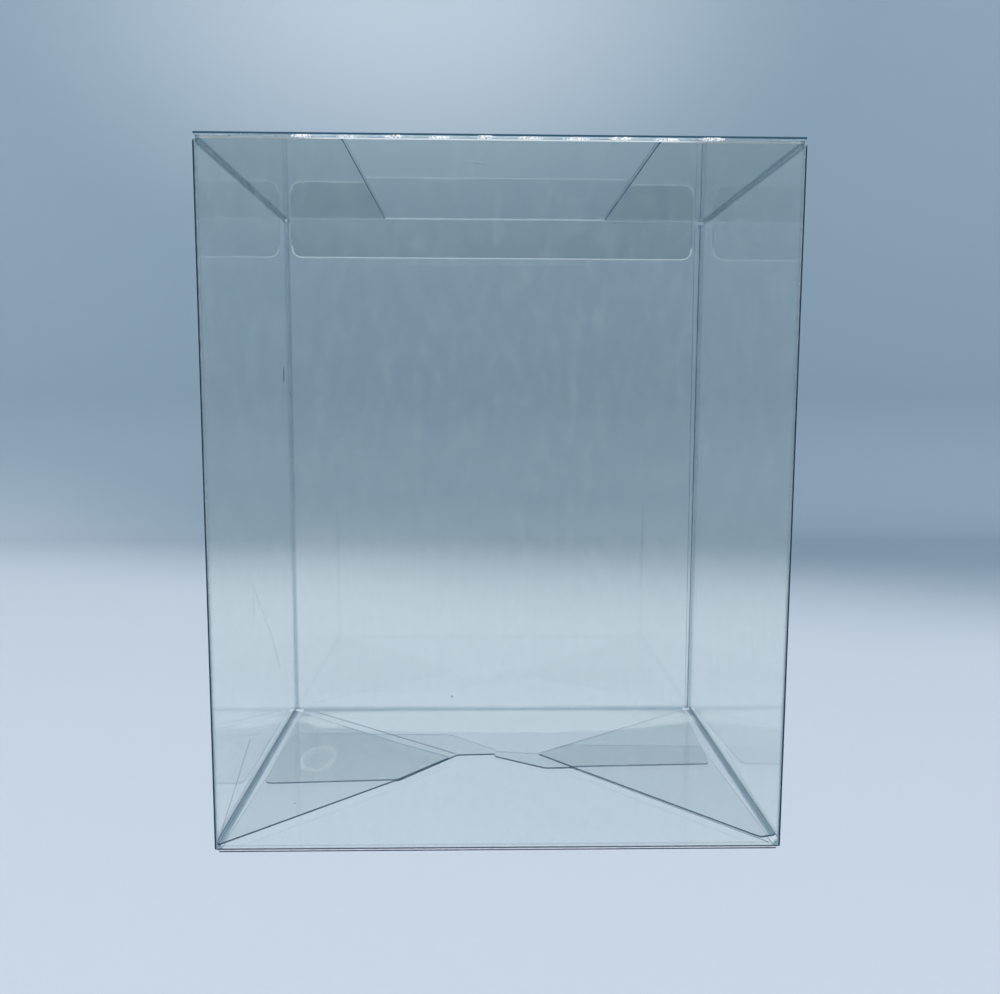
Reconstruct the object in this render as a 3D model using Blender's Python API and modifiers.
"""Clear folded box that protects a boxed figure: one creased sheet for the walls and a hinged lid."""

import math

import bmesh
import bpy

MM = 0.001

# Outside of the closed box
WIDTH = 150 * MM
DEPTH = 107 * MM
HEIGHT = 183 * MM

# The sheet and how it folds
FILM = 0.5 * MM
FOLD_OUTSIDE = 1.0 * MM
ARC_STEPS = 5
LAYER_GAP = 0.3 * MM

# The lid and its tuck flap
LID_SIDE_INSET = 0.4 * MM
LID_FRONT_INSET = 0.1 * MM
LID_CORNER_CUT = 1.2 * MM
TUCK_LENGTH = 14.5 * MM
TUCK_LEFT_INSET = 2.6 * MM
TUCK_RIGHT_INSET = 4.3 * MM
TUCK_CORNER = 4.2 * MM
TUCK_LEAN = 4.0
HINGE_GAP = 0.3 * MM
WALL_TOP_GAP = 0.3 * MM

# Dust flaps on the side walls
DUST_LEFT_REACH = 36.0 * MM
DUST_RIGHT_REACH = 36.1 * MM
DUST_FRONT_INSET = 1.5 * MM
DUST_REAR_INSET = 3.4 * MM
DUST_TAPER = 0.4 * MM
DUST_CORNER = 0.8 * MM

# Lapped seam at the right rear corner: the rear wall ends just short of the corner, and a narrow
# strip of the right wall is bonded inside it
SEAM_INSET = 1.15 * MM
STRIP_TOP_REACH = 3.1 * MM
STRIP_BOTTOM_REACH = 2.0 * MM
STRIP_END_INSET = 1.2 * MM
STRIP_TAPER = 0.5 * MM
STRIP_PRESS = 0.03 * MM
STRIP_BOND = 0.05 * MM

# Where each bottom flap starts and ends on its wall, in from the box's corners
FRONT_HINGE_INSETS = (1.3 * MM, 1.3 * MM)
REAR_HINGE_INSETS = (3.3 * MM, 3.0 * MM)
LEFT_HINGE_INSETS = (1.4 * MM, 3.2 * MM)
RIGHT_HINGE_INSETS = (4.6 * MM, 3.2 * MM)

# Corners of the bottom flaps' free edges, seen from above. Each has the side of the box that
# its x is measured in from, that distance, the same for its y, and its radius, all in mm
FRONT_FLAP = (
    ("right", 4.5, "front", 69.5, 2.5),
    ("middle", 26.0, "front", 71.3, 3.0),
    ("middle", 13.5, "front", 64.6, 0.6),
    ("middle", 0.0, "front", 66.7, 0.0),
    ("middle", 0.0, "front", 68.2, 0.6),
    ("middle", -15.6, "front", 82.3, 3.0),
    ("left", 4.4, "front", 83.1, 2.5),
)
REAR_FLAP = (
    ("left", 3.6, "rear", 66.3, 3.0),
    ("middle", -30.4, "rear", 64.0, 1.5),
    ("middle", -12.6, "rear", 43.9, 1.2),
    ("middle", -0.3, "rear", 43.3, 0.5),
    ("middle", 0.0, "rear", 45.4, 0.5),
    ("middle", 15.9, "rear", 55.0, 1.5),
    ("right", 5.8, "rear", 53.0, 2.2),
)
LEFT_FLAP = (
    ("left", 43.6, "middle", -12.4, 1.0),
    ("left", 59.7, "middle", 5.4, 0.6),
    ("left", 59.3, "middle", 5.9, 0.6),
    ("left", 43.9, "middle", 16.6, 2.0),
    ("left", 4.3, "rear", 6.0, 1.5),
)
RIGHT_FLAP = (
    ("right", 5.6, "rear", 5.2, 1.5),
    ("right", 60.2, "middle", 8.8, 0.6),
    ("right", 60.5, "middle", 8.0, 0.6),
    ("right", 50.6, "middle", -2.6, 1.0),
    ("right", 6.3, "front", 5.5, 1.0),
    ("right", 4.4, "front", 3.7, 0.5),
)

# Pressed creases of the two glued bottom flaps, from the fold to the free edge
FRONT_CREASE = (("right", 1.7, "front", 2.8), ("middle", 13.6, "front", 64.4))
REAR_CREASE = (("left", 7.7, "rear", 2.0), ("middle", -12.7, "rear", 43.8))
CREASE_DEPTH = 0.15 * MM
CREASE_WIDTH = 0.5 * MM
CREASE_END_GAP = 0.8 * MM

# Cuts along the lid's crease
CUT_PITCH = 11.2 * MM
CUT_LENGTH = 8.4 * MM
CUT_DEPTH = 0.35 * MM
CUT_END_MARGIN = 4.0 * MM

# Heights and planes that follow from those
BEND = FOLD_OUTSIDE - FILM / 2
HALF = FILM / 2
LAYER = FILM + LAYER_GAP
FRONT_FLAP_Z = HALF
REAR_FLAP_Z = FRONT_FLAP_Z + LAYER
SIDE_FLAP_Z = REAR_FLAP_Z + LAYER
LID_Z = HEIGHT - HALF
DUST_Z = LID_Z - LAYER
FRONT_Y = -DEPTH / 2 + HALF
REAR_Y = DEPTH / 2 - HALF
STRIP_Y = REAR_Y - FILM
LEFT_X = -WIDTH / 2 + HALF
RIGHT_X = WIDTH / 2 - HALF
HINGE_SWEEP = math.hypot(HALF, HALF - LID_FRONT_INSET)
FRONT_TOP = LID_Z - HINGE_SWEEP - HINGE_GAP
REAR_TOP = LID_Z - HALF - WALL_TOP_GAP
SIDE_TOP = DUST_Z - BEND
TUCK_Y = STRIP_Y - HALF - LAYER_GAP - HALF
FRONT_LOW = FRONT_FLAP_Z + BEND
REAR_LOW = REAR_FLAP_Z + BEND
SIDE_LOW = SIDE_FLAP_Z + BEND


def clear_scene():
    """Empties the startup scene."""
    for item in list(bpy.data.objects):
        bpy.data.objects.remove(item)
    for group in list(bpy.data.collections):
        bpy.data.collections.remove(group)


def new_group(name):
    """Makes a collection in the scene."""
    group = bpy.data.collections.new(name)
    bpy.context.scene.collection.children.link(group)
    return group


def clear_film(name, colour):
    """Makes the clear plastic of one object."""
    material = bpy.data.materials.new(name)
    material.use_nodes = True
    shader = material.node_tree.nodes["Principled BSDF"]
    shader.inputs["Base Color"].default_value = colour
    shader.inputs["Roughness"].default_value = 0.05
    shader.inputs["IOR"].default_value = 1.57
    shader.inputs["Transmission Weight"].default_value = 1.0
    return material


class Sheet:
    """Gathers flat faces of the sheet's middle plane and joins them where they meet."""

    def __init__(self):
        self.mesh = bmesh.new()
        self.corners = {}

    def corner(self, point):
        key = tuple(round(value, 7) for value in point)
        if key not in self.corners:
            self.corners[key] = self.mesh.verts.new(point)
        return self.corners[key]

    def face(self, points):
        self.mesh.faces.new([self.corner(point) for point in points])

    def build(self, name, group, material):
        """Makes the object and gives the plane its thickness."""
        bmesh.ops.recalc_face_normals(self.mesh, faces=self.mesh.faces)
        data = bpy.data.meshes.new(name)
        self.mesh.to_mesh(data)
        self.mesh.free()
        made = bpy.data.objects.new(name, data)
        made.data.materials.append(material)
        group.objects.link(made)
        film = made.modifiers.new("Film", "SOLIDIFY")
        film.thickness = FILM
        film.offset = 0
        film.use_even_offset = True
        return made


def arc(centre, radius, start, end):
    """Points of an arc, with its angles in degrees."""
    points = []
    for step in range(ARC_STEPS + 1):
        angle = math.radians(start + (end - start) * step / ARC_STEPS)
        points.append((centre[0] + radius * math.cos(angle), centre[1] + radius * math.sin(angle)))
    return points


def rounded(before, corners, after):
    """Rounds the corners of an open outline that runs between two fixed points."""
    path = [before] + [(x, y) for x, y, radius in corners] + [after]
    points = []
    for index, (x, y, radius) in enumerate(corners, 1):
        back = (path[index - 1][0] - x, path[index - 1][1] - y)
        ahead = (path[index + 1][0] - x, path[index + 1][1] - y)
        back_length = math.hypot(*back)
        ahead_length = math.hypot(*ahead)
        turn = (back[0] * ahead[0] + back[1] * ahead[1]) / (back_length * ahead_length)
        half_angle = math.acos(max(-1.0, min(1.0, turn))) / 2
        reach = radius / math.tan(half_angle)
        reach = min(reach, 0.45 * back_length, 0.45 * ahead_length)
        if reach < 1e-6:
            points.append((x, y))
            continue
        start = (x + back[0] / back_length * reach, y + back[1] / back_length * reach)
        end = (x + ahead[0] / ahead_length * reach, y + ahead[1] / ahead_length * reach)
        for step in range(ARC_STEPS + 1):
            part = step / ARC_STEPS
            share = ((1 - part) ** 2, 2 * part * (1 - part), part**2)
            points.append(
                (
                    share[0] * start[0] + share[1] * x + share[2] * end[0],
                    share[0] * start[1] + share[1] * y + share[2] * end[1],
                )
            )
    return points


def in_plan(x_side, x, y_side, y):
    """A point of the bottom, from the sides of the box that it is measured in from."""
    along = {"left": x * MM - WIDTH / 2, "middle": x * MM, "right": WIDTH / 2 - x * MM}[x_side]
    across = {"front": y * MM - DEPTH / 2, "middle": y * MM, "rear": DEPTH / 2 - y * MM}[y_side]
    return (along, across)


def plan_corners(table):
    """The corners of a flap's free edge, in metres."""
    return [in_plan(*row[:4]) + (row[4] * MM,) for row in table]


def posts():
    """Uprights round the walls: name of the wall after each, and its place at the foot and at the head."""
    left = -WIDTH / 2
    right = WIDTH / 2
    front = -DEPTH / 2
    rear = DEPTH / 2
    line = []

    def upright(wall, x, y, head_x=None, head_y=None):
        head = (x if head_x is None else head_x, y if head_y is None else head_y)
        line.append((wall, (x, y), head))

    upright("front", left + FOLD_OUTSIDE, FRONT_Y)
    upright("front", left + FRONT_HINGE_INSETS[0], FRONT_Y)
    upright("front", right - FRONT_HINGE_INSETS[1], FRONT_Y)
    for x, y in arc((right - FOLD_OUTSIDE, front + FOLD_OUTSIDE), BEND, -90, 0)[:-1]:
        upright("front_corner", x, y)
    upright("right", RIGHT_X, front + FOLD_OUTSIDE)
    upright("right", RIGHT_X, front + RIGHT_HINGE_INSETS[0], head_y=front + DUST_FRONT_INSET)
    upright("right", RIGHT_X, rear - RIGHT_HINGE_INSETS[1], head_y=rear - DUST_REAR_INSET)
    for x, y in arc((right - FOLD_OUTSIDE, rear - FILM - FOLD_OUTSIDE), BEND, 0, 90):
        upright("rear_corner", x, y)
    upright("rear_corner", right - SEAM_INSET - HALF, STRIP_Y)
    upright("rear_corner", right - SEAM_INSET - HALF, REAR_Y)
    upright("rear", right - REAR_HINGE_INSETS[1], REAR_Y)
    upright("rear", left + REAR_HINGE_INSETS[0], REAR_Y)
    for x, y in arc((left + FOLD_OUTSIDE, rear - FOLD_OUTSIDE), BEND, 90, 180)[:-1]:
        upright("rear_corner", x, y)
    upright("left", LEFT_X, rear - FOLD_OUTSIDE)
    upright("left", LEFT_X, rear - LEFT_HINGE_INSETS[1], head_y=rear - DUST_REAR_INSET)
    upright("left", LEFT_X, front + LEFT_HINGE_INSETS[0], head_y=front + DUST_FRONT_INSET)
    for x, y in arc((left + FOLD_OUTSIDE, front + FOLD_OUTSIDE), BEND, 180, 270)[:-1]:
        upright("front_corner", x, y)
    return line


def wall_range(wall):
    """Where each wall or corner starts and stops in height."""
    return {
        "front": (FRONT_LOW, FRONT_TOP),
        "rear": (REAR_LOW, REAR_TOP),
        "left": (SIDE_LOW, SIDE_TOP),
        "right": (SIDE_LOW, SIDE_TOP),
        "front_corner": (FRONT_LOW, SIDE_TOP),
        "rear_corner": (REAR_LOW, SIDE_TOP),
    }[wall]


def at_height(post, z):
    """The place of an upright at one height."""
    part = (z - REAR_LOW) / (REAR_TOP - REAR_LOW)
    foot, head = post[1], post[2]
    return (foot[0] + (head[0] - foot[0]) * part, foot[1] + (head[1] - foot[1]) * part, z)


def add_walls(sheet):
    """Four walls, the rounded folds between them and the lapped seam."""
    rows = sorted({value for wall in ("front", "rear", "left") for value in wall_range(wall)})
    line = posts()
    for index, post in enumerate(line):
        following = line[(index + 1) % len(line)]
        low, high = wall_range(post[0])
        levels = [row for row in rows if low <= row <= high]
        for bottom, top in zip(levels, levels[1:]):
            sheet.face(
                [
                    at_height(post, bottom),
                    at_height(following, bottom),
                    at_height(following, top),
                    at_height(post, top),
                ]
            )


def add_flap(sheet, place, hinge, turn, outline):
    """A fold and the flap beyond it. place puts a point at a distance along the wall and
    into the fold's turn, and outline is the flap's free edge in plan."""
    start, end = hinge
    for step in range(ARC_STEPS):
        first = turn * step / ARC_STEPS
        second = turn * (step + 1) / ARC_STEPS
        sheet.face([place(start, first), place(end, first), place(end, second), place(start, second)])
    height = place(start, turn)[2]
    face = [place(start, turn), place(end, turn)] + [(x, y, height) for x, y in outline]
    sheet.face(face)


def fold_from_wall(wall, z, up):
    """The places of a quarter fold that starts on a wall at height z and turns into the box."""
    sign = 1 if up else -1

    def place(along, angle):
        turned = math.radians(angle)
        inward = BEND * (1 - math.cos(turned))
        height = z + sign * BEND * math.sin(turned)
        if wall == "front":
            return (along, FRONT_Y + inward, height)
        if wall == "rear":
            return (along, REAR_Y - inward, height)
        if wall == "left":
            return (LEFT_X + inward, along, height)
        return (RIGHT_X - inward, along, height)

    return place


def hinge_of(wall, z):
    """The two ends of the fold line that a flap has on a wall, as distances along the wall."""
    pair = [post for post in posts() if post[0] == wall][-2:]
    axis = 0 if wall in ("front", "rear") else 1
    return [at_height(post, z)[axis] for post in pair]


def add_bottom_flaps(sheet):
    """Four flaps that lock and are glued flat across the bottom."""
    jobs = (
        ("front", FRONT_LOW, FRONT_FLAP),
        ("rear", REAR_LOW, REAR_FLAP),
        ("left", SIDE_LOW, LEFT_FLAP),
        ("right", SIDE_LOW, RIGHT_FLAP),
    )
    for wall, low, table in jobs:
        start, end = hinge_of(wall, low)
        place = fold_from_wall(wall, low, False)
        outline = rounded(place(end, 90)[:2], plan_corners(table), place(start, 90)[:2])
        add_flap(sheet, place, (start, end), 90, outline)


def add_dust_flaps(sheet):
    """Two flaps that fold in from the side walls under the lid."""
    front = -DEPTH / 2 + DUST_FRONT_INSET + DUST_TAPER
    rear = DEPTH / 2 - DUST_REAR_INSET - DUST_TAPER
    left = -WIDTH / 2 + DUST_LEFT_REACH
    right = WIDTH / 2 - DUST_RIGHT_REACH
    jobs = (
        ("left", ((left, front, DUST_CORNER), (left, rear, DUST_CORNER))),
        (
            "right",
            (
                (right, rear, DUST_CORNER),
                (right, front, DUST_CORNER),
            ),
        ),
    )
    for wall, corners in jobs:
        start, end = hinge_of(wall, SIDE_TOP)
        place = fold_from_wall(wall, SIDE_TOP, True)
        outline = rounded(place(end, 90)[:2], corners, place(start, 90)[:2])
        add_flap(sheet, place, (start, end), 90, outline)


def helper(name, group, mesh):
    """Makes a hidden object that cuts or joins."""
    bmesh.ops.recalc_face_normals(mesh, faces=mesh.faces)
    data = bpy.data.meshes.new(name)
    mesh.to_mesh(data)
    mesh.free()
    made = bpy.data.objects.new(name, data)
    made.display_type = "WIRE"
    made.hide_render = True
    group.objects.link(made)
    return made


def prism(mesh, loop, offset):
    """Adds a solid between a loop of points and the same loop moved by an offset."""
    first = [mesh.verts.new(point) for point in loop]
    second = [mesh.verts.new([a + b for a, b in zip(point, offset)]) for point in loop]
    mesh.faces.new(first)
    mesh.faces.new(second)
    for index in range(len(loop)):
        ahead = (index + 1) % len(loop)
        mesh.faces.new([first[index], first[ahead], second[ahead], second[index]])


def seam_strip(group):
    """The edge of the right wall that is bonded flat inside the rear wall."""
    right = WIDTH / 2
    root = right - SEAM_INSET - HALF
    low = SIDE_LOW + HALF
    high = SIDE_TOP - STRIP_END_INSET
    inner = DEPTH / 2 - 2 * FILM + STRIP_PRESS
    mesh = bmesh.new()
    loop = [
        (root, inner, low),
        (root, inner, high),
        (right - STRIP_TOP_REACH, inner, high - STRIP_TAPER),
        (right - STRIP_BOTTOM_REACH, inner, low + STRIP_TAPER),
    ]
    prism(mesh, loop, (0, FILM - STRIP_PRESS + STRIP_BOND, 0))
    return helper("seam_strip", group, mesh)


def crease_cuts(group):
    """Shallow grooves where the two glued bottom flaps fold on their diagonals."""
    mesh = bmesh.new()
    for table, height in ((FRONT_CREASE, FRONT_FLAP_Z), (REAR_CREASE, REAR_FLAP_Z)):
        start, end = [in_plan(*point) for point in table]
        length = math.dist(start, end)
        ahead = ((end[0] - start[0]) / length, (end[1] - start[1]) / length)
        across = (-ahead[1], ahead[0])
        top = height + HALF + CREASE_DEPTH / 2
        low = height + HALF - CREASE_DEPTH
        half_width = CREASE_WIDTH / 2 * 1.5
        run = length - 2 * CREASE_END_GAP
        foot = (start[0] + ahead[0] * CREASE_END_GAP, start[1] + ahead[1] * CREASE_END_GAP)
        loop = [
            (foot[0] - across[0] * half_width, foot[1] - across[1] * half_width, top),
            (foot[0] + across[0] * half_width, foot[1] + across[1] * half_width, top),
            (foot[0], foot[1], low),
        ]
        prism(mesh, loop, (ahead[0] * run, ahead[1] * run, 0))
    return helper("crease_cuts", group, mesh)


def hinge_cuts(group):
    """The row of cuts that lets the lid fold on its crease, in the front wall's top edge."""
    mesh = bmesh.new()
    room = WIDTH - 2 * FOLD_OUTSIDE - 2 * CUT_END_MARGIN
    count = max(1, int((room - CUT_LENGTH) / CUT_PITCH) + 1)
    first = -(count - 1) * CUT_PITCH / 2
    for index in range(count):
        x = first + index * CUT_PITCH
        front = -DEPTH / 2 - FILM
        loop = [
            (x - CUT_LENGTH / 2, front, FRONT_TOP - CUT_DEPTH),
            (x + CUT_LENGTH / 2, front, FRONT_TOP - CUT_DEPTH),
            (x + CUT_LENGTH / 2, front, FRONT_TOP + CUT_DEPTH),
            (x - CUT_LENGTH / 2, front, FRONT_TOP + CUT_DEPTH),
        ]
        prism(mesh, loop, (0, 3 * FILM, 0))
    return helper("hinge_cuts", group, mesh)


def apply_helper(made, tool, operation):
    """Joins or cuts with a helper."""
    step = made.modifiers.new(tool.name, "BOOLEAN")
    step.operation = operation
    step.solver = "EXACT"
    step.object = tool


def build_sleeve(group, helpers):
    """Walls, dust flaps and bottom flaps of the creased sheet."""
    sheet = Sheet()
    add_walls(sheet)
    add_bottom_flaps(sheet)
    add_dust_flaps(sheet)
    made = sheet.build("wall_sleeve", group, clear_film("sleeve_film", (0.90, 0.95, 0.97, 1)))
    apply_helper(made, seam_strip(helpers), "UNION")
    apply_helper(made, crease_cuts(helpers), "DIFFERENCE")
    apply_helper(made, hinge_cuts(helpers), "DIFFERENCE")
    return made


def build_lid(group):
    """The lid panel and the tuck flap that hangs inside the rear wall."""
    left = -WIDTH / 2 + LID_SIDE_INSET
    right = WIDTH / 2 - LID_SIDE_INSET
    tuck_left = -WIDTH / 2 + TUCK_LEFT_INSET
    tuck_right = WIDTH / 2 - TUCK_RIGHT_INSET
    front = -DEPTH / 2 + LID_FRONT_INSET
    fold_y = TUCK_Y - BEND
    turn = 90 + TUCK_LEAN
    sheet = Sheet()
    sheet.face(
        [
            (left, front, LID_Z),
            (right, front, LID_Z),
            (right, fold_y - LID_CORNER_CUT, LID_Z),
            (tuck_right, fold_y, LID_Z),
            (tuck_left, fold_y, LID_Z),
            (left, fold_y - LID_CORNER_CUT, LID_Z),
        ]
    )

    def place(x, angle):
        turned = math.radians(angle)
        return (x, fold_y + BEND * math.sin(turned), LID_Z - BEND + BEND * math.cos(turned))

    for step in range(ARC_STEPS):
        first = turn * step / ARC_STEPS
        second = turn * (step + 1) / ARC_STEPS
        sheet.face(
            [
                place(tuck_left, first),
                place(tuck_right, first),
                place(tuck_right, second),
                place(tuck_left, second),
            ]
        )
    length = TUCK_LENGTH - FOLD_OUTSIDE
    corners = [(tuck_right, length, TUCK_CORNER), (tuck_left, length, TUCK_CORNER)]
    outline = rounded((tuck_right, 0), corners, (tuck_left, 0))
    root = place(0, turn)
    lean = math.radians(TUCK_LEAN)
    tongue = [place(tuck_left, turn), place(tuck_right, turn)]
    for x, down in outline:
        tongue.append((x, root[1] - down * math.sin(lean), root[2] - down * math.cos(lean)))
    sheet.face(tongue)
    return sheet.build("lid", group, clear_film("lid_film", (0.90, 0.95, 0.97, 1)))


def main():
    """Builds the box, closed and standing on its bottom."""
    clear_scene()
    group = new_group("figure_box_protector")
    helpers = new_group("helpers")
    build_sleeve(group, helpers)
    build_lid(group)


main()
